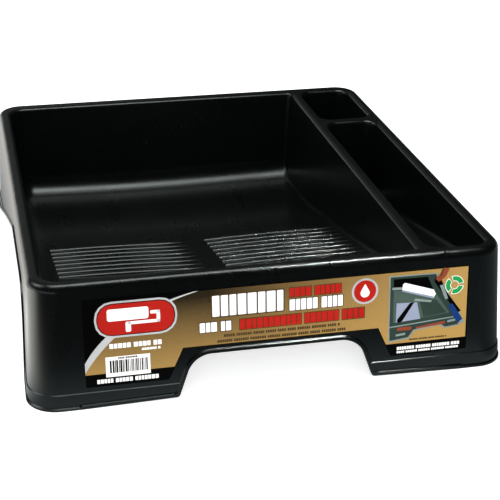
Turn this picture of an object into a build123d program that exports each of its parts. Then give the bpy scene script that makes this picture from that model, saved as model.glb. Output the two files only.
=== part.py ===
from build123d import *
from math import atan2, cos, degrees, radians, sin, tan
import os

# A floor-standing paint roller tray: one moulded plastic shell with a roller well, a tool tray and
# a cup, and the adhesive label on its front skirt. Millimetres. The origin is on the floor under
# the middle of the rim. X runs across the tray, -Y is the label end, +Y the deep end, Z is up.

# Outside
RIM_WIDTH = 430.0  # across the rim, along X
RIM_DEPTH = 487.0  # along Y
HEIGHT = 115.0
SIDE_FLARE = 6.5  # how far each side skirt stands out at the floor
END_FLARE = 10.8  # the same for the front and back skirts
SIDE_BOW = 4.0  # how far a side skirt pulls in at the floor, half way along
RIM_CORNER = 26.0  # corner radius in plan at the rim
CORNER_FLARE = 1.0  # how much larger that radius is at the floor
WALL = 2.5
RIM_ROUND = 7.0  # rounding over the rim's outer edge
LIP_ROUND = 4.0  # rounding over each opening's edge

# Base band, bead and arches
BAND_HEIGHT = 15.0
BAND_STEP = 0.9  # how far the band stands out from the skirt
BEAD_STEP = 1.7  # how far the bead along the skirt's lower edge stands out from the skirt
BEAD_HEIGHT = 2.8
STEP_SLOPE = 33.0  # degrees from level, the tops of the band and of the bead
FRONT_ARCH_HEIGHT = 40.8
FRONT_ARCH_WIDTH = 180.0  # at the floor
FRONT_ARCH_LEAN = 19.6  # degrees from upright
FRONT_ARCH_ROUND = 23.0
FOOT_RISE = 2.0  # how far a front foot's edge lifts off the floor beside the arch
FOOT_REST = 350.0  # distance between the places where it starts to lift
FOOT_ROUND = 3.5
SIDE_ARCH_HEIGHT = 80.0
SIDE_ARCH_FRONT = (-195.0, -172.0)  # along Y, at the floor and at the top
SIDE_ARCH_BACK = (209.0, -33.0)
SIDE_ARCH_FRONT_ROUND = 45.0
SIDE_ARCH_BACK_ROUND = 60.0

# Openings in the rim
SIDE_LEDGE = 12.5
FRONT_LEDGE = 12.5
BACK_LEDGE = 18.5
DIVIDER = 11.0  # between the well and the tool side
PARTITION = 14.0  # between the cup and the tool tray
TOOL_WIDTH = 57.7
CUP_LENGTH = 100.0
DRAFT = 4.0  # degrees, inner walls

# Roller well
FLOOR = 11.2  # lowest point of the well's floor
WELL_DISH = 4200.0  # radius of the dish across the well's floor and ramp
RAMP_FOOT = 117.0  # where the floor and the ramp would meet without their blend
RAMP_ANGLE = 11.4
RAMP_BLEND = 380.0
WELL_END_ROUND = 22.0  # floor to back wall, and ramp to front wall
WELL_OUTER_ROUND = 18.0  # all round the wall on the skirt side
WELL_INNER_ROUND = 5.0  # all round the wall on the divider side

# Tool tray and cup
TOOL_FLOOR_BACK = 26.8
TOOL_FLOOR_FRONT = 91.2
CUP_FLOOR = 30.0
POCKET_CORNER = 13.0  # corner radius in plan
POCKET_ROUND = 7.0  # floor to walls

# Ribs on the ramp
RIB_COUNT = 8
RIB_PITCH = 15.6
RIB_FIRST = -4.1  # middle of the rib nearest the deep end
RIB_RADIUS = 3.6  # of a rib's round section
RIB_HEIGHT = 1.8  # above the ramp, at a rib's left end
RIB_DROP = 1.2  # how much lower the right end is
RIB_ROOT = 1.2  # depth that a rib's left end reaches into the ramp
RIB_ARCH = 0.9  # how far a rib rises between its ends
RIB_SPANS = 4  # straight lengths in a rib
RIB_LENGTH = 141.0
RIB_MARGIN = 22.7  # from the well's left edge at the rim to the left group
RIB_GAP = 20.5  # between the two groups

# Label
LABEL_LEFT = -170.9
LABEL_RIGHT = 179.7
LABEL_BOTTOM = 19.3
LABEL_TOP = 100.8
LABEL_NOTCH_TOP = 47.4
LABEL_NOTCH_LEFT = (-97.7, -83.9)  # at the bottom of the label and at the top of the notch
LABEL_NOTCH_RIGHT = (106.7, 93.6)
LABEL_THICKNESS = 0.25
LABEL_CORNER = 1.5

# Worked out
ABOVE = 10.0  # how far cutting solids run past the tray
NEAR = 0.01  # tolerance in picking edges and corners
LEFT_EDGE = SIDE_LEDGE - RIM_WIDTH / 2
RIGHT_EDGE = -LEFT_EDGE
FRONT_EDGE = FRONT_LEDGE - RIM_DEPTH / 2
BACK_EDGE = RIM_DEPTH / 2 - BACK_LEDGE
TOOL_EDGE = RIGHT_EDGE - TOOL_WIDTH
WELL_EDGE = TOOL_EDGE - DIVIDER
CUP_EDGE = BACK_EDGE - CUP_LENGTH
WELL_MIDDLE = (LEFT_EDGE + WELL_EDGE) / 2
SKIRT_LEAN = degrees(atan2(END_FLARE, HEIGHT))


def outline(z, grow=0.0):
    """The tray's plan outline at a height, grown outwards all round."""
    down = 1 - z / HEIGHT
    x = RIM_WIDTH / 2 + SIDE_FLARE * down + grow
    y = RIM_DEPTH / 2 + END_FLARE * down + grow
    waist = x - SIDE_BOW * down
    corners = [(-x, -y), (x, -y), (x, y), (-x, y)]
    if down > 0:
        right = ThreePointArc(corners[1], (waist, 0), corners[2])
        left = ThreePointArc(corners[3], (-waist, 0), corners[0])
    else:
        right = Line(corners[1], corners[2])
        left = Line(corners[3], corners[0])
    front = Line(corners[0], corners[1])
    back = Line(corners[2], corners[3])
    face = make_face([front, right, back, left])
    radius = RIM_CORNER + CORNER_FLARE * down + grow
    return Pos(0, 0, z) * fillet(face.vertices(), radius)


def skirt_block(bottom, top, grow=0.0):
    """A solid with the skirt's lean and bow between two heights."""
    return loft([outline(bottom, grow), outline(top, grow)], ruled=True)


def edges_at(solid, z):
    """The edges that lie level at a height."""
    return solid.edges().filter_by_position(Axis.Z, z - NEAR, z + NEAR)


def below(edges, z):
    """The edges that lie wholly or partly below a height."""
    return [e for e in edges if e.bounding_box().min.Z < z - NEAR]


def walls(low, high, plane, grow):
    """A long prism between two drafted walls that stand low and high apart at the rim."""
    lean = tan(radians(DRAFT))
    top = HEIGHT + ABOVE
    out = ABOVE * lean + grow
    inn = (HEIGHT + ABOVE) * lean - grow
    corners = [(low - out, top), (high + out, top), (high - inn, -ABOVE), (low + inn, -ABOVE)]
    section = plane * make_face(Polyline(*corners, close=True))
    return extrude(section, amount=RIM_DEPTH, both=True)


def well_profile(grow):
    """The well's section along the tray: front wall, ramp, floor and back wall."""
    lean = tan(radians(DRAFT))
    rise = tan(radians(RAMP_ANGLE))
    back_foot = BACK_EDGE - (HEIGHT - FLOOR) * lean
    # the ramp meets the front wall where both lines give the same height
    drop = HEIGHT - FLOOR - rise * (RAMP_FOOT - FRONT_EDGE)
    front_foot = FRONT_EDGE + lean * drop / (1 - rise * lean)
    top = HEIGHT + ABOVE
    points = [
        (FRONT_EDGE - ABOVE * lean, top),
        (front_foot, FLOOR + rise * (RAMP_FOOT - front_foot)),
        (RAMP_FOOT, FLOOR),
        (back_foot, FLOOR),
        (BACK_EDGE + ABOVE * lean, top),
    ]
    face = make_face(Polyline(*points, close=True))
    face = fillet(face.vertices().sort_by_distance(points[2])[0], RAMP_BLEND)
    for foot in (points[1], points[3]):
        face = fillet(face.vertices().sort_by_distance(foot)[0], WELL_END_ROUND)
    return offset(face, grow) if grow else face


def on_dish(face):
    """A section swept across the tray, along the dish."""
    axis = Axis((WELL_MIDDLE, 0, FLOOR + WELL_DISH), (0, 1, 0))
    half = degrees(RIM_WIDTH / 2 / WELL_DISH)
    swept = revolve(Pos(WELL_MIDDLE, 0, 0) * (Plane.YZ * face), axis, 2 * half)
    return swept.rotate(axis, -half)


def well(grow=0.0):
    """The roller well's void, or with grow the outside of its shell."""
    void = walls(LEFT_EDGE, WELL_EDGE, Plane.XZ, grow) & on_dish(well_profile(grow))
    for axis_end, radius in ((0, WELL_OUTER_ROUND), (-1, WELL_INNER_ROUND)):
        side = void.faces().sort_by(Axis.X)[axis_end]
        void = fillet(below(side.edges(), HEIGHT), radius + grow)
    return void


def pocket(front, back, floor_front, floor_back, grow=0.0):
    """The void of the tool tray or the cup, or with grow the outside of its shell."""
    sides = walls(TOOL_EDGE, RIGHT_EDGE, Plane.XZ, grow)
    ends = walls(front, back, Plane.YZ, grow)
    top = HEIGHT + ABOVE
    past = (floor_front - floor_back) / (back - front) * RIM_DEPTH
    corners = [
        (front - RIM_DEPTH, floor_front - grow + past),
        (back + RIM_DEPTH, floor_back - grow - past),
        (back + RIM_DEPTH, top),
        (front - RIM_DEPTH, top + past),
    ]
    above_floor = extrude(Plane.YZ * make_face(Polyline(*corners, close=True)), RIM_WIDTH, both=True)
    shaft = sides & ends
    upright = [e for e in shaft.edges() if e.bounding_box().size.Z > HEIGHT]
    void = fillet(upright, POCKET_CORNER + grow) & above_floor
    return fillet(below(void.edges(), HEIGHT), POCKET_ROUND + grow)


def tool_tray(grow=0.0):
    return pocket(FRONT_EDGE, CUP_EDGE - PARTITION, TOOL_FLOOR_FRONT, TOOL_FLOOR_BACK, grow)


def cup(grow=0.0):
    return pocket(CUP_EDGE, BACK_EDGE, CUP_FLOOR, CUP_FLOOR, grow)


def front_arch(grow):
    """The front arch's outline, with the lift of the feet beside it."""
    lean = tan(radians(FRONT_ARCH_LEAN))
    foot = FRONT_ARCH_WIDTH / 2 - FOOT_RISE * lean
    shoulder = FRONT_ARCH_WIDTH / 2 - FRONT_ARCH_HEIGHT * lean
    left = [
        (-FOOT_REST / 2, -ABOVE),
        (-FOOT_REST / 2, 0),
        (-foot, FOOT_RISE),
        (-shoulder, FRONT_ARCH_HEIGHT),
    ]
    right = [(-x, z) for x, z in reversed(left)]
    face = make_face(Polyline(*left, *right, close=True))
    corners = face.vertices().sort_by(Axis.Y)
    face = fillet(corners[-2:], FRONT_ARCH_ROUND)
    if grow:
        return offset(face, grow)
    feet = face.vertices().filter_by_position(Axis.Y, NEAR, FOOT_RISE + NEAR)
    return fillet(feet, FOOT_ROUND)


def side_arch(grow):
    """A side arch's outline: steep at the front, then sloping down towards the back."""
    points = [
        (SIDE_ARCH_FRONT[0], 0),
        (SIDE_ARCH_FRONT[1], SIDE_ARCH_HEIGHT),
        (SIDE_ARCH_BACK[1], SIDE_ARCH_HEIGHT),
        (SIDE_ARCH_BACK[0], 0),
        (SIDE_ARCH_BACK[0], -ABOVE),
        (SIDE_ARCH_FRONT[0], -ABOVE),
    ]
    face = make_face(Polyline(*points, close=True))
    face = fillet(face.vertices().sort_by_distance(points[1])[0], SIDE_ARCH_FRONT_ROUND)
    face = fillet(face.vertices().sort_by_distance(points[2])[0], SIDE_ARCH_BACK_ROUND)
    if grow:
        face = offset(face, grow)
    return face


def arches(grow=0.0):
    """The prisms of the front arch and of one arch in each side."""
    at_front = Plane.XZ.offset(RIM_DEPTH / 2) * front_arch(grow)
    prisms = [extrude(at_front, RIM_CORNER, both=True)]
    for side in (-1, 1):
        at_side = Plane.YZ.offset(side * RIM_WIDTH / 2) * side_arch(grow)
        prisms.append(extrude(at_side, SIDE_LEDGE, both=True))
    return prisms


def under_slope(top):
    """Everything below a slope that meets the skirt at a height, all round the tray."""
    reach = RIM_CORNER / 2
    rise = reach * tan(radians(STEP_SLOPE))
    return loft([outline(top - rise, reach), outline(top + rise, -reach)], ruled=True)


def front_plane(out=0.0):
    """The plane of the front skirt, with its origin on the floor, moved outwards."""
    lean = radians(SKIRT_LEAN)
    normal = (0, -cos(lean), sin(lean))
    return Plane((0, -RIM_DEPTH / 2 - END_FLARE, 0), (1, 0, 0), normal).offset(out)


def front_bead():
    """The sloping prism that forms the bead round the front arch."""
    taper = STEP_SLOPE + SKIRT_LEAN
    deep = 2 * WALL + BEAD_STEP
    base = front_arch(BEAD_HEIGHT + deep * tan(radians(taper)))
    return extrude(front_plane(BEAD_STEP - deep) * base, deep, taper=taper)


def rib_line(start, stop):
    """Points across the tray and up along a rib: a shallow arch that sinks to the right."""
    dish = [(x - WELL_MIDDLE) ** 2 / (2 * WELL_DISH) for x in (start, stop)]
    points = []
    for k in range(RIB_SPANS + 1):
        part = k / RIB_SPANS
        x = start + (stop - start) * part
        chord = dish[0] + (dish[1] - dish[0] - RIB_DROP) * part
        points.append((x, chord + 4 * part * (1 - part) * RIB_ARCH))
    return points


def ribs():
    """Two groups of slightly arched bars across the ramp."""
    disc = Pos(0, RIB_HEIGHT - RIB_RADIUS) * Circle(RIB_RADIUS)
    bed = Pos(0, (RIB_HEIGHT - RIB_ROOT) / 2) * Rectangle(2 * RIB_RADIUS, RIB_HEIGHT + RIB_ROOT)
    section = Rot(0, 0, -RAMP_ANGLE) * (disc & bed)
    solids = []
    for group in range(2):
        start = LEFT_EDGE + RIB_MARGIN + group * (RIB_LENGTH + RIB_GAP)
        line = rib_line(start, start + RIB_LENGTH)
        for row in range(RIB_COUNT):
            y = RIB_FIRST - row * RIB_PITCH
            ramp = FLOOR + tan(radians(RAMP_ANGLE)) * (RAMP_FOOT - y)
            path = Polyline(*[(x, y, ramp + z) for x, z in line])
            end = Plane(path @ 0, (0, 1, 0), path % 0)
            solids.append(sweep(end * section, path=path, transition=Transition.RIGHT))
    return solids


def tray():
    """The moulded shell."""
    body = skirt_block(0, HEIGHT)
    body = fillet(edges_at(body, HEIGHT), RIM_ROUND)
    inside = skirt_block(-ABOVE, HEIGHT - WALL, -WALL)
    inside = fillet(edges_at(inside, HEIGHT - WALL), RIM_ROUND - WALL)
    band = skirt_block(0, HEIGHT, BAND_STEP) & under_slope(BAND_HEIGHT)
    edges = under_slope(BEAD_HEIGHT) + front_bead() + arches(BEAD_HEIGHT)[1:]
    bead = skirt_block(0, HEIGHT - 2 * RIM_ROUND, BEAD_STEP) & edges
    body += [band, bead]
    voids = [well(), tool_tray(), cup()]
    shells = [well(WALL), tool_tray(WALL), cup(WALL)]
    hollow = inside - shells
    body = body - hollow - voids - arches()
    inner_x = RIM_WIDTH / 2 - RIM_ROUND - NEAR
    inner_y = RIM_DEPTH / 2 - RIM_ROUND - NEAR
    top = [e for e in edges_at(body, HEIGHT) if abs(e.center().X) < inner_x]
    body = fillet([e for e in top if abs(e.center().Y) < inner_y], LIP_ROUND)
    return body + ribs()


def front_label():
    """The adhesive label, cut out round the front arch and lying on the skirt."""
    up = 1 / cos(radians(SKIRT_LEAN))
    points = [
        (LABEL_LEFT, LABEL_TOP),
        (LABEL_LEFT, LABEL_BOTTOM),
        (LABEL_NOTCH_LEFT[0], LABEL_BOTTOM),
        (LABEL_NOTCH_LEFT[1], LABEL_NOTCH_TOP),
        (LABEL_NOTCH_RIGHT[1], LABEL_NOTCH_TOP),
        (LABEL_NOTCH_RIGHT[0], LABEL_BOTTOM),
        (LABEL_RIGHT, LABEL_BOTTOM),
        (LABEL_RIGHT, LABEL_TOP),
    ]
    face = make_face(Polyline(*[(x, z * up) for x, z in points], close=True))
    face = fillet(face.vertices(), LABEL_CORNER)
    return extrude(front_plane() * face, LABEL_THICKNESS)


os.makedirs("parts", exist_ok=True)
for name, make in (("tray", tray), ("front_label", front_label)):
    solid = make()
    export_step(solid, f"parts/{name}.step")
    print(name, len(solid.solids()), "solid", round(solid.volume / 1000, 1), "cm3")
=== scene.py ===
import random
from math import cos, radians, sin

import bpy
from mathutils import Matrix, Vector


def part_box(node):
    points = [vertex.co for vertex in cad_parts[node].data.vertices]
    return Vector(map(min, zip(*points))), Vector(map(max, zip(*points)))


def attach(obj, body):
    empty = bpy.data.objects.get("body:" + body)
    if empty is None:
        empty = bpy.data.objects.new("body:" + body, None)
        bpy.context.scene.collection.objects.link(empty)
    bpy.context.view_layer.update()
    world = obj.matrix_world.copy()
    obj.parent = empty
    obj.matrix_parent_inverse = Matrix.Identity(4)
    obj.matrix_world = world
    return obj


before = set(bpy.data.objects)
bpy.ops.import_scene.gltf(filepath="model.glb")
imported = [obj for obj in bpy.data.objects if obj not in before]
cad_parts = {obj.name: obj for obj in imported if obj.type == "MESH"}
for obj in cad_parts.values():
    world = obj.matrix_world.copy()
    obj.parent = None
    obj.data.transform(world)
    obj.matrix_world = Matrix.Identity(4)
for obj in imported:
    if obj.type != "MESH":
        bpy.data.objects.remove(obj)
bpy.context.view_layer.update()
MM = 0.001

# ---------------------------------------------------------------- camera

CAMERA_AT = Vector((-0.2554, -1.2319, 0.60704))
CAMERA_YAW = 13.17  # degrees, clockwise from +Y seen from above
CAMERA_PITCH = 24.983  # degrees below the horizon
CAMERA_ROLL = -0.714  # degrees
CAMERA_LENS = 93.6  # mm
CAMERA_SENSOR = 36.0  # mm
CAMERA_NEAR = 0.01
CAMERA_FAR = 50.0


def make_camera():
    yaw, pitch, roll = (radians(a) for a in (CAMERA_YAW, CAMERA_PITCH, CAMERA_ROLL))
    forward = Vector((sin(yaw) * cos(pitch), cos(yaw) * cos(pitch), -sin(pitch)))
    right = Vector((cos(yaw), -sin(yaw), 0.0))
    down = forward.cross(right)
    across = cos(roll) * right + sin(roll) * down
    up = sin(roll) * right - cos(roll) * down
    data = bpy.data.cameras.new("camera")
    data.lens = CAMERA_LENS
    data.sensor_width = CAMERA_SENSOR
    data.clip_start = CAMERA_NEAR
    data.clip_end = CAMERA_FAR
    camera = bpy.data.objects.new("camera", data)
    turn = Matrix((across, up, -forward)).transposed().to_4x4()
    camera.matrix_world = Matrix.Translation(CAMERA_AT) @ turn
    bpy.context.scene.collection.objects.link(camera)
    bpy.context.scene.camera = camera


make_camera()

# ---------------------------------------------------------------- node helpers


class Nodes:
    """Short ways to add nodes to a tree. Most calls return the new node's output."""

    def __init__(self, tree):
        self.tree = tree

    def put(self, socket, value):
        if isinstance(value, bpy.types.NodeSocket):
            self.tree.links.new(value, socket)
        elif value is not None:
            socket.default_value = value

    def new(self, kind, inputs=(), **settings):
        node = self.tree.nodes.new(kind)
        for name, value in settings.items():
            setattr(node, name, value)
        for name, value in dict(inputs).items():
            self.put(node.inputs[name], value)
        return node

    def math(self, operation, a, b=None, clamp=False):
        node = self.new("ShaderNodeMath", operation=operation, use_clamp=clamp)
        self.put(node.inputs[0], a)
        self.put(node.inputs[1], b)
        return node.outputs[0]

    def product(self, *factors):
        total = factors[0]
        for factor in factors[1:]:
            total = self.math("MULTIPLY", total, factor)
        return total

    def highest(self, *values):
        top = values[0]
        for value in values[1:]:
            top = self.math("MAXIMUM", top, value)
        return top

    def step(self, value, low, high, to_low=0.0, to_high=1.0):
        """A smooth step from to_low to_high as value goes from low to high."""
        node = self.new("ShaderNodeMapRange", interpolation_type="SMOOTHSTEP")
        ends = {"From Min": low, "From Max": high, "To Min": to_low, "To Max": to_high}
        for name, number in {"Value": value, **ends}.items():
            self.put(node.inputs[name], number)
        return node.outputs[0]

    def mix(self, factor, a, b):
        node = self.new("ShaderNodeMix", data_type="RGBA")
        self.put(node.inputs["Factor"], factor)
        self.put(node.inputs[6], a)
        self.put(node.inputs[7], b)
        return node.outputs[2]

    def noise(self, place, scale, detail=2.0, roughness=0.5, distortion=0.0):
        inputs = {"Vector": place, "Scale": scale, "Detail": detail}
        inputs.update({"Roughness": roughness, "Distortion": distortion})
        return self.new("ShaderNodeTexNoise", inputs).outputs["Fac"]

    def stretch(self, place, scale, turn=(0, 0, 0)):
        node = self.new("ShaderNodeMapping", {"Vector": place, "Scale": scale})
        node.inputs["Rotation"].default_value = turn
        return node.outputs[0]

    def split(self, vector):
        return self.new("ShaderNodeSeparateXYZ", {"Vector": vector}).outputs

    def place(self):
        return self.new("ShaderNodeTexCoord").outputs["Object"]


def new_material(name):
    """A material, its node helper and its shader."""
    material = bpy.data.materials.new(name)
    material.use_nodes = True
    return material, Nodes(material.node_tree), material.node_tree.nodes["Principled BSDF"]


# ---------------------------------------------------------------- stage and light

# The floor, in metres. A pair says where a patch of it fades in along one axis, from the first
# place to the second, and a glow is the strength that reflections see there.
FLOOR_REACH = 6.0
FLOOR_DROP = 0.0004  # how far the floor lies under the tray's foot
FLOOR_PAINT = (0.86, 0.86, 0.86, 1)
FLOOR_LIFT = 0.66  # emission, so that the floor is white to the camera
FLOOR_DIM = 0.03  # glow everywhere, under the patches too
LEFT_FADE_X = (-0.19, -0.30)
LEFT_FADE_Y = (-0.36, -0.22)
LEFT_GLOW = 1.6
CORNER_START_Y = (-0.30, -0.18)  # the brightest part of the left patch, beside the front corner
CORNER_END_Y = (0.05, -0.10)
CORNER_GLOW = 1.7
FRONT_FADE_Y = (-0.40, -0.262)
FRONT_END_X = (0.24, 0.21)
FRONT_GLOW = 0.6
FAR_RIGHT_FADE_X = (0.15, 0.30)  # to the right and some way in front
FAR_RIGHT_FADE_Y = (-0.9, -0.4)
FAR_RIGHT_GLOW = 0.2
RIGHT_FADE_X = (0.34, 0.50)
RIGHT_FADE_Y = (-0.12, 0.0)
RIGHT_GLOW = 0.6
COOL_GLOW = (0.86, 0.95, 1.0, 1)
WARM_GLOW = (1.0, 0.95, 0.89, 1)  # of the left patch

# The room around it. A pair here is two values of one component of the direction looked in.
ROOM_WHITE = (0.97, 1.0, 0.99, 1)
ROOM_MATT = 0.75  # strength that matt surfaces see
ROOM_DIM = 0.01  # and what reflections see at least
BEHIND_X = (0.24, 0.02)
BEHIND_GLOW = (0.03, 0.19)  # at those two values
BEHIND_LEFT_X = (-0.55, -0.2)
BEHIND_LEFT_SHARE = 0.2
BEHIND_TOP_Z = (0.75, 0.45)
BEHIND_LOW_Z = (0.25, 0.42)
BEHIND_LOW_SHARE = 0.5
BEHIND_Y = (0.0, 0.5)
ROOM_LEFT_X = (-0.06, -0.3)
ROOM_LEFT_Z = (0.22, 0.02)
ROOM_LEFT_GLOW = 1.6


def area_light(name, at, aim, size, power, colour=(1.0, 1.0, 1.0), spread=180.0, glossy=True):
    data = bpy.data.lights.new(name, "AREA")
    data.shape = "RECTANGLE"
    data.size, data.size_y = size
    data.energy = power
    data.color = colour
    data.spread = radians(spread)
    light = bpy.data.objects.new(name, data)
    light.location = at
    light.rotation_euler = (Vector(aim) - Vector(at)).to_track_quat("-Z", "Y").to_euler()
    light.visible_glossy = glossy
    bpy.context.scene.collection.objects.link(light)


def floor_material():
    """Pale paint. Reflections see it bright on the left, less so in front and on the right."""
    material, n, shader = new_material("floor")
    tree = material.node_tree
    x, y, _ = n.split(n.place())
    corner = n.product(n.step(y, *CORNER_START_Y), n.step(y, *CORNER_END_Y), CORNER_GLOW)
    along_left = n.math("ADD", corner, n.math("MULTIPLY", n.step(y, *LEFT_FADE_Y), LEFT_GLOW))
    patches = (
        n.product(n.step(x, *LEFT_FADE_X), along_left),
        n.product(n.step(y, *FRONT_FADE_Y), n.step(x, *FRONT_END_X), FRONT_GLOW),
        n.product(n.step(x, *FAR_RIGHT_FADE_X), n.step(y, *FAR_RIGHT_FADE_Y), FAR_RIGHT_GLOW),
        n.product(n.step(x, *RIGHT_FADE_X), n.step(y, *RIGHT_FADE_Y), RIGHT_GLOW),
    )
    seen = n.math("ADD", n.highest(*patches), FLOOR_DIM)
    tint = n.mix(n.step(x, *LEFT_FADE_X), COOL_GLOW, WARM_GLOW)
    glow = n.new("ShaderNodeEmission", {"Color": tint, "Strength": seen})
    shader.inputs["Base Color"].default_value = FLOOR_PAINT
    shader.inputs["Roughness"].default_value = 0.9
    shader.inputs["Specular IOR Level"].default_value = 0.0
    shader.inputs["Emission Color"].default_value = (1, 1, 1, 1)
    shader.inputs["Emission Strength"].default_value = FLOOR_LIFT
    ray = n.new("ShaderNodeLightPath").outputs
    mixed = n.new("ShaderNodeMixShader", {"Fac": ray["Is Glossy Ray"]})
    tree.links.new(shader.outputs[0], mixed.inputs[1])
    tree.links.new(glow.outputs[0], mixed.inputs[2])
    tree.links.new(mixed.outputs[0], tree.nodes["Material Output"].inputs["Surface"])
    return material


def make_world():
    """White to the camera, a little less to matt surfaces, and a dim room to reflections.

    Reflections see it lighter behind the tray, and bright low on the left.
    """
    world = bpy.data.worlds.new("world")
    world.use_nodes = True
    n = Nodes(world.node_tree)
    back = world.node_tree.nodes["Background"]
    ray = n.new("ShaderNodeLightPath").outputs
    x, y, z = n.split(n.new("ShaderNodeTexCoord").outputs["Generated"])
    behind = n.product(
        n.step(x, *BEHIND_X, *BEHIND_GLOW),
        n.step(x, *BEHIND_LEFT_X, BEHIND_LEFT_SHARE, 1.0),
        n.step(z, *BEHIND_TOP_Z),
        n.step(z, *BEHIND_LOW_Z, BEHIND_LOW_SHARE, 1.0),
        n.step(y, *BEHIND_Y),
    )
    left = n.product(n.step(x, *ROOM_LEFT_X), n.step(z, *ROOM_LEFT_Z), ROOM_LEFT_GLOW)
    room = n.math("ADD", n.math("ADD", behind, left), ROOM_DIM)
    matt = n.math("MULTIPLY", n.math("SUBTRACT", 1.0, ray["Is Glossy Ray"]), ROOM_MATT)
    strength = n.math("ADD", n.math("MULTIPLY", ray["Is Glossy Ray"], room), matt)
    n.put(back.inputs["Strength"], n.math("MAXIMUM", strength, ray["Is Camera Ray"]))
    back.inputs["Color"].default_value = ROOM_WHITE
    bpy.context.scene.world = world


def make_stage():
    mesh = bpy.data.meshes.new("floor")
    r = FLOOR_REACH
    mesh.from_pydata([(-r, -r, 0), (r, -r, 0), (r, r, 0), (-r, r, 0)], [], [(0, 1, 2, 3)])
    floor = bpy.data.objects.new("floor", mesh)
    bpy.context.scene.collection.objects.link(floor)
    floor.location.z = -FLOOR_DROP
    mesh.materials.append(floor_material())
    make_world()
    bpy.context.scene.view_settings.view_transform = "Standard"


make_stage()
area_light("key", at=(-0.02, 0.0, 1.7), aim=(0.0, 0.0, 0.0), size=(0.8, 0.9), power=15)
area_light("accent", at=(0.59, -0.30, 1.7), aim=(0.06, -0.29, 0.115), size=(0.5, 0.08), power=0.24,
           colour=(1.0, 0.98, 0.95), spread=8.0)
area_light("side", at=(-1.2, 0.25, 1.25), aim=(-0.2, 0.0, 0.1), size=(0.7, 0.7), power=6)
area_light("fill", at=(-0.5, -2.2, 1.0), aim=(0.0, 0.0, 0.05), size=(1.6, 1.2), power=26,
           glossy=False)

# ---------------------------------------------------------------- materials


def tray_plastic():
    """Black moulded polypropylene: semi-gloss, with faint flow marks, fine grain and scuffs."""
    material, n, shader = new_material("tray_plastic")
    place = n.place()
    along_flow = n.stretch(place, (14.0, 3.0, 14.0))
    along_scuffs = n.stretch(place, (260.0, 18.0, 90.0), turn=(0, 0, 0.5))
    cloud = n.noise(place, scale=9.0, detail=4.0, roughness=0.55)
    grain = n.noise(place, scale=1400.0, detail=2.0, roughness=0.6)
    flow = n.noise(along_flow, scale=2.0, detail=3.0, roughness=0.6, distortion=0.4)
    scuffs = n.step(n.noise(along_scuffs, scale=1.0, detail=3.0, roughness=0.7), 0.68, 0.8)
    darker, lighter = (0.0004, 0.0006, 0.0007, 1), (0.0010, 0.0013, 0.0014, 1)
    n.put(shader.inputs["Base Color"], n.mix(cloud, darker, lighter))
    skin = n.step(flow, 0.25, 0.75, to_low=0.26, to_high=0.31)
    n.put(shader.inputs["Roughness"], n.math("ADD", skin, n.math("MULTIPLY", scuffs, 0.03)))
    shader.inputs["IOR"].default_value = 1.49
    shader.inputs["Specular Tint"].default_value = (0.9, 1.0, 0.98, 1)
    height = n.math("ADD", n.math("MULTIPLY", grain, 0.12), cloud)
    bump = n.new("ShaderNodeBump", {"Height": height, "Strength": 0.35, "Distance": 0.1 * MM})
    n.put(shader.inputs["Normal"], bump.outputs[0])
    return material


FILM_DEPTH = 0.82  # the darker shade of an ink that names none, as a share of its colour
FILM_UNEVEN = 0.08  # range of a film's roughness


def film(name, colour, deep=None, roughness=0.32):
    """Printed label film in one ink, with slight unevenness. deep is the ink's darker shade."""
    material, n, shader = new_material(name)
    cloud = n.noise(n.place(), scale=30.0, detail=3.0, roughness=0.6)
    deep = deep or tuple(c * FILM_DEPTH for c in colour)
    n.put(shader.inputs["Base Color"], n.mix(cloud, (*deep, 1), (*colour, 1)))
    n.put(shader.inputs["Roughness"], n.step(cloud, 0.3, 0.7, roughness, roughness + FILM_UNEVEN))
    shader.inputs["Specular IOR Level"].default_value = 0.05
    ripple = n.new("ShaderNodeBump", {"Height": cloud, "Strength": 0.2, "Distance": 0.2 * MM})
    n.put(shader.inputs["Normal"], ripple.outputs[0])
    return material


GOLD_DARK = (0.014, 0.009, 0.003, 1)
GOLD_PALE = (0.355, 0.212, 0.059, 1)
GOLD_BOTTOM = 0.010  # metres above the floor, where the ink starts to darken
GOLD_RIGHT = 0.185  # and the same to the right of the tray's middle
GOLD_UPWARD = 11.8  # how fast it darkens upwards, per metre
GOLD_LEFTWARD = 4.08
GOLD_FLECK = 0.03


def gold_film():
    """The gold ink: brown at the top left, paler to the right and downwards."""
    material, n, shader = new_material("ink_gold")
    place = n.place()
    x, _, z = n.split(place)
    up = n.math("SUBTRACT", z, GOLD_BOTTOM, clamp=True)
    across = n.math("SUBTRACT", GOLD_RIGHT, x, clamp=True)
    higher = n.math("MULTIPLY", up, GOLD_UPWARD, clamp=True)
    lefter = n.math("MULTIPLY", across, GOLD_LEFTWARD, clamp=True)
    pale = n.math("SUBTRACT", 1.0, n.math("MULTIPLY", higher, lefter))
    grain = n.noise(place, scale=900.0, detail=2.0, roughness=0.7)
    fleck = n.step(grain, 0.3, 0.7, -GOLD_FLECK, GOLD_FLECK)
    gold = n.mix(n.math("ADD", pale, fleck, clamp=True), GOLD_DARK, GOLD_PALE)
    n.put(shader.inputs["Base Color"], gold)
    shader.inputs["Specular IOR Level"].default_value = 0.15
    shader.inputs["Roughness"].default_value = 0.36
    return material


def dress(node, material):
    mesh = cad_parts[node].data
    mesh.materials.clear()
    mesh.materials.append(material)


dress("tray", tray_plastic())
dress("front_label", film("ink_black", (0.001, 0.001, 0.001)))

# ---------------------------------------------------------------- label artwork

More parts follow.
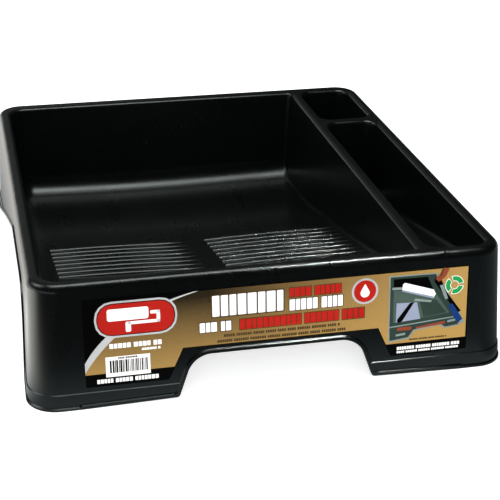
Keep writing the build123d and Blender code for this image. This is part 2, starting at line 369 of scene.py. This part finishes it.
# Every shape lies on the label's own face. u runs to the right from the tray's middle and w up from
# the floor, both in millimetres, w measured as a height. A shape's layer says what it lies over.
LAYER = 0.05 * MM  # from one layer of ink to the next
NOTCH_LEFT = (-97.7, -83.9)  # the cut-out for the arch, at the label's foot and at the notch's top
NOTCH_RIGHT = (106.7, 93.6)
NOTCH_TOP = 47.4
BORDER = 0.8
BAND_TOP = 31.2  # of the black bands along the label's foot
CORNER_STEPS = 4  # straight lengths in a rounded corner
CURVE_STEPS = 24

# Colour, darker shade where it isn't the usual share, and roughness where it isn't the usual one
INKS = {
    "art_black": ((0.001, 0.001, 0.001),),
    "silver": ((0.46, 0.46, 0.46), (0.24, 0.24, 0.25), 0.25),
    "white": ((0.85, 0.85, 0.83),),
    "red": ((0.36, 0.011, 0.006), (0.27, 0.006, 0.004)),
    "brown": ((0.06, 0.035, 0.012),),
    "green": ((0.01, 0.27, 0.06),),
    "slate": ((0.026, 0.045, 0.036), (0.014, 0.026, 0.021)),
    "slate_pale": ((0.058, 0.088, 0.073), (0.035, 0.058, 0.048)),
    "blue": ((0.006, 0.03, 0.14),),
    "haze": ((0.22, 0.27, 0.26), (0.12, 0.16, 0.15)),
    "paper": ((0.24, 0.27, 0.36),),
    "rust": ((0.22, 0.045, 0.02),),
}


def label_face():
    """A point on the label's outer face, and the face's normal."""
    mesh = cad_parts["front_label"].data
    forward = -0.9  # the outer face looks along -Y
    big = max(mesh.polygons, key=lambda p: p.area * (p.normal.y < forward))
    return Vector(big.center), Vector(big.normal)


class Artwork:
    """Flat shapes of ink, gathered into one mesh."""

    # the blocks of a line of words, as shares of the letter size
    WIDTHS = (0.62, 0.95)
    GAP = 0.16
    WORD_GAP = 0.5
    SHADOW = 0.14
    CORNER = 0.08
    LEAST = 0.6  # room that the last block needs

    def __init__(self):
        self.point, self.normal = label_face()
        self.materials = {name: film("ink_" + name, *ink) for name, ink in INKS.items()}
        self.materials["gold"] = gold_film()
        self.corners, self.faces, self.inks, self.slots = [], [], [], []

    def at(self, u, w, layer):
        z = w * MM
        y = self.point.y - (z - self.point.z) * self.normal.z / self.normal.y
        return Vector((u * MM, y, z)) + self.normal * (LAYER * layer)

    def shape(self, outline, ink, layer):
        first = len(self.corners)
        self.corners += [self.at(u, w, layer) for u, w in outline]
        self.faces.append(range(first, len(self.corners)))
        if ink not in self.slots:
            self.slots.append(ink)
        self.inks.append(self.slots.index(ink))

    def bar(self, low, high, ink, layer, corner):
        self.shape(rounded(low, high, corner), ink, layer)

    def words(self, low, high, ink, layer, letter, seed, shadow=None, lengths=(4, 7)):
        """A line of plain blocks, spaced like the letters of words of so many letters each."""
        draw = random.Random(seed)
        u, left = low[0], draw.randint(*lengths)
        while u + letter * self.LEAST < high[0]:
            width = min(letter * draw.uniform(*self.WIDTHS), high[0] - u)
            if shadow:
                edge = letter * self.SHADOW
                below = (u - edge, low[1] - edge), (u + width + edge, high[1] + edge)
                self.bar(*below, shadow, layer - 0.5, edge)
            self.bar((u, low[1]), (u + width, high[1]), ink, layer, letter * self.CORNER)
            u += width + letter * self.GAP
            left -= 1
            if left == 0:
                u, left = u + letter * self.WORD_GAP, draw.randint(*lengths)

    def finish(self, name):
        mesh = bpy.data.meshes.new(name)
        mesh.from_pydata(self.corners, [], [list(f) for f in self.faces])
        for ink in self.slots:
            mesh.materials.append(self.materials[ink])
        mesh.polygons.foreach_set("material_index", self.inks)
        mesh.update()
        piece = bpy.data.objects.new(name, mesh)
        bpy.context.scene.collection.objects.link(piece)
        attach(piece, "root")


def rounded(low, high, corner):
    """A rectangle's outline with round corners."""
    points = []
    for right, upper, start in ((1, 0, -90), (1, 1, 0), (0, 1, 90), (0, 0, 180)):
        u = high[0] - corner if right else low[0] + corner
        w = high[1] - corner if upper else low[1] + corner
        for k in range(CORNER_STEPS + 1):
            a = radians(start + 90 * k / CORNER_STEPS)
            points.append((u + corner * cos(a), w + corner * sin(a)))
    return points


def ring_part(centre, radius, start, stop, width=0.0, steps=CURVE_STEPS):
    """A disc's outline, or with width, part of a ring between two angles in degrees."""
    angles = [radians(start + (stop - start) * k / steps) for k in range(steps + 1)]
    outer = [(centre[0] + radius * cos(a), centre[1] + radius * sin(a)) for a in angles]
    if not width:
        return outer[:-1]
    hole = radius - width
    inner = [(centre[0] + hole * cos(a), centre[1] + hole * sin(a)) for a in reversed(angles)]
    return outer + inner


def curve(a, b, c):
    """Points on a smooth curve from a to c that bends towards b."""
    points = []
    for k in range(CURVE_STEPS + 1):
        t = k / CURVE_STEPS
        weights = (1 - t) ** 2, 2 * t * (1 - t), t * t
        points.append(tuple(sum(m * p for m, p in zip(weights, axis)) for axis in zip(a, b, c)))
    return points


def draw_panel(art):
    """The gold panel inside a thin dark border, and the black corner with its silver edge."""
    low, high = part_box("front_label")
    left, right = low.x / MM, high.x / MM
    bottom, top = low.z / MM, high.z / MM
    up = (BAND_TOP - bottom) / (NOTCH_TOP - bottom)
    band_left, band_right = (n[0] + up * (n[1] - n[0]) for n in (NOTCH_LEFT, NOTCH_RIGHT))
    panel = [
        (left, BAND_TOP),
        (band_left - BORDER, BAND_TOP),
        (NOTCH_LEFT[1] - BORDER, NOTCH_TOP + BORDER),
        (NOTCH_RIGHT[1] + BORDER, NOTCH_TOP + BORDER),
        (band_right + BORDER, BAND_TOP),
        (right - 1.6 * BORDER, BAND_TOP),
        (right - 1.6 * BORDER, top - BORDER),
        (left, top - BORDER),
    ]
    art.shape(panel, "gold", 1)
    outer = curve((left, 42.0), (-147.0, 84.0), (-74.0, top - BORDER))
    inner = curve((-70.0, top - BORDER), (-138.0, 84.0), (left, 33.0))
    art.shape([(left, top), *outer], "art_black", 2)
    art.shape([*outer, *inner], "silver", 3)


def draw_badge(art):
    """A red badge with a paint roller in it, and two lines of words under it."""
    for low, high, ink, layer, corner in (
        ((-161, 64), (-89, 97.5), "silver", 4, 15),
        ((-159.2, 65.8), (-90.8, 95.7), "art_black", 5, 13.4),
        ((-158.4, 66.6), (-91.6, 94.9), "red", 6, 12.8),
        ((-150, 79.5), (-114, 90.5), "white", 7, 2),
        ((-112.5, 83.4), (-104, 86.4), "white", 7, 0.8),
        ((-107, 75.2), (-104, 86.4), "white", 7, 0.8),
        ((-132, 75.2), (-104, 78.0), "white", 7, 0.8),
        ((-134.2, 68.6), (-129.6, 78.0), "white", 7, 1.2),
    ):
        art.bar(low, high, ink, layer, corner)
    art.words((-149, 54.0), (-101, 58.5), "white", 4, letter=4.0, seed=3)
    art.words((-121, 50.0), (-103.5, 52.2), "white", 4, letter=2.2, seed=5)


def draw_bar_symbol(art):
    """Bars of random width, with no code in them."""
    art.bar((-153, 27.6), (-114, 46.4), "white", 4, 0.3)
    draw = random.Random(11)
    u, end = -149.5, -117.5
    while u < end:
        width = draw.choice((0.5, 0.8, 1.2, 1.6))
        art.bar((u, 31.2), (u + width, 43.0), "art_black", 5, 0.02)
        u += width + draw.choice((0.35, 0.5, 0.8))
    art.words((-142, 44.0), (-125, 45.6), "brown", 5, letter=1.6, seed=6)


def draw_words(art):
    """The lines of blocks on the bands along the foot, and then the headlines."""
    art.words((-161, 22.2), (-106, 26.0), "white", 4, letter=3.4, seed=8)
    art.words((112.5, 24.6), (173.5, 27.6), "white", 4, letter=2.6, seed=9)
    art.words((112.5, 21.4), (173.5, 23.4), "white", 4, letter=2.0, seed=10)
    art.words((124, 33.2), (160, 34.6), "brown", 4, letter=1.3, seed=12)
    for low, high, ink, letter, seed, lengths in (
        ((-58, 74.6), (8, 94.0), "white", 8.4, 21, (8, 9)),
        ((11.5, 86.4), (64.5, 94.8), "red", 5.4, 22, (3, 6)),
        ((11.5, 73.6), (64.5, 84.0), "white", 5.6, 23, (4, 5)),
        ((-69.5, 60.6), (-37.5, 69.6), "white", 5.4, 24, (3, 3)),
        ((-33.5, 60.2), (80.5, 69.8), "red", 5.4, 25, (5, 14)),
    ):
        art.words(low, high, ink, 5, letter, seed, shadow="brown", lengths=lengths)
    art.words((-48, 54.6), (59, 57.2), "brown", 4, letter=2.1, seed=26)
    art.words((-54, 49.6), (63.5, 52.2), "brown", 4, letter=2.1, seed=27)


def draw_marks(art):
    """A round badge with a drop in it, and a ring of three parts."""
    u, w = 81.0, 85.2
    art.shape(ring_part((u, w), 12.4, 0, 360), "silver", 4)
    art.shape(ring_part((u, w), 10.4, 0, 360), "red", 5)
    art.shape([*ring_part((u, w - 1.6), 4.2, 150, 390), (u, w + 7.0)], "white", 6)
    centre = (165.8, 83.2)
    for turn in (0, 120, 240):
        art.shape(ring_part(centre, 9.0, turn + 9, turn + 111, width=5.4, steps=10), "white", 4)
        art.shape(ring_part(centre, 8.4, turn + 13, turn + 107, width=4.2, steps=10), "green", 5)


def draw_picture(art):
    """A small picture of a tray with a roller, brushes and a card in it."""
    for ink, layer, outline in (
        # the tray: its edge, its inside and its front
        ("haze", 2, [(103.6, 97.0), (148.4, 96.4), (173.4, 53.6), (172.0, 43.4), (158.0, 41.8),
                     (153.0, 45.2), (128.6, 42.0), (123.4, 35.0), (104.0, 32.8)]),
        ("slate", 3, [(104.8, 95.9), (147.4, 95.4), (171.4, 53.0), (104.8, 48.2)]),
        ("slate", 4, [(104.8, 47.0), (171.0, 51.8), (170.6, 44.4), (158.2, 43.2), (153.4, 46.6),
                      (128.0, 43.4), (122.6, 36.4), (105.2, 34.4)]),
        ("art_black", 4, [(107.5, 93.8), (140.0, 93.4), (146.0, 80.0), (108.0, 84.0)]),
        ("slate_pale", 4, [(108.0, 83.0), (146.6, 79.4), (162.0, 56.6), (108.0, 51.6)]),
        ("slate", 5, [(132.0, 73.0), (149.0, 70.4), (159.0, 57.2), (137.0, 54.6)]),
        # a card, a long dark tool, and the roller with its shade and its axle
        ("paper", 6, [(111.0, 70.6), (130.4, 69.8), (134.0, 53.4), (110.6, 51.8)]),
        ("art_black", 6, [(147.0, 92.0), (152.0, 91.6), (158.6, 77.0), (173.0, 57.2), (169.0, 55.8),
                          (146.4, 88.0)]),
        ("white", 8, [(116.4, 88.0), (118.4, 89.6), (146.0, 80.6), (148.0, 76.4), (145.6, 72.2),
                      (115.8, 81.6)]),
        ("paper", 9, [(115.8, 81.6), (145.6, 72.2), (146.0, 74.0), (115.9, 83.2)]),
        ("haze", 7, [(106.6, 86.0), (116.0, 85.6), (116.0, 83.4), (106.6, 83.8)]),
        # the handles and blades of the brushes
        ("art_black", 8, [(123.6, 69.8), (127.6, 70.0), (116.6, 52.6), (112.4, 51.2),
                          (111.6, 54.4)]),
        ("haze", 7, [(127.4, 71.4), (128.6, 73.6), (144.6, 70.4), (143.6, 68.6)]),
        ("blue", 8, [(160.6, 64.6), (164.6, 65.2), (174.8, 49.4), (171.2, 46.0), (166.6, 50.6)]),
        ("haze", 9, [(172.2, 47.6), (175.4, 49.4), (177.0, 46.4), (173.2, 44.4)]),
        ("haze", 7, [(151.6, 84.0), (155.0, 84.6), (160.0, 70.6), (157.4, 70.0)]),
        ("rust", 8, [(147.4, 91.0), (151.0, 94.6), (155.6, 101.0), (160.4, 99.4), (157.0, 92.0),
                     (150.6, 87.6)]),
        ("brown", 9, [(151.2, 92.6), (153.0, 93.4), (155.2, 99.8), (153.4, 99.6)]),
        # the colours on the tray's front
        ("rust", 5, rounded((112.0, 43.4), (126.0, 46.8), 1.2)),
        ("rust", 5, [(130.0, 45.6), (158.0, 49.0), (158.0, 46.2), (131.0, 43.9)]),
        ("haze", 5, [(111.0, 38.2), (120.0, 39.0), (120.0, 41.2), (111.0, 40.2)]),
        ("haze", 5, [(160.4, 47.0), (168.0, 48.0), (168.0, 50.2), (160.4, 49.2)]),
    ):
        art.shape(outline, ink, layer)


def make_artwork():
    art = Artwork()
    for draw in (draw_panel, draw_badge, draw_bar_symbol, draw_words, draw_marks, draw_picture):
        draw(art)
    art.finish("label_print")


make_artwork()
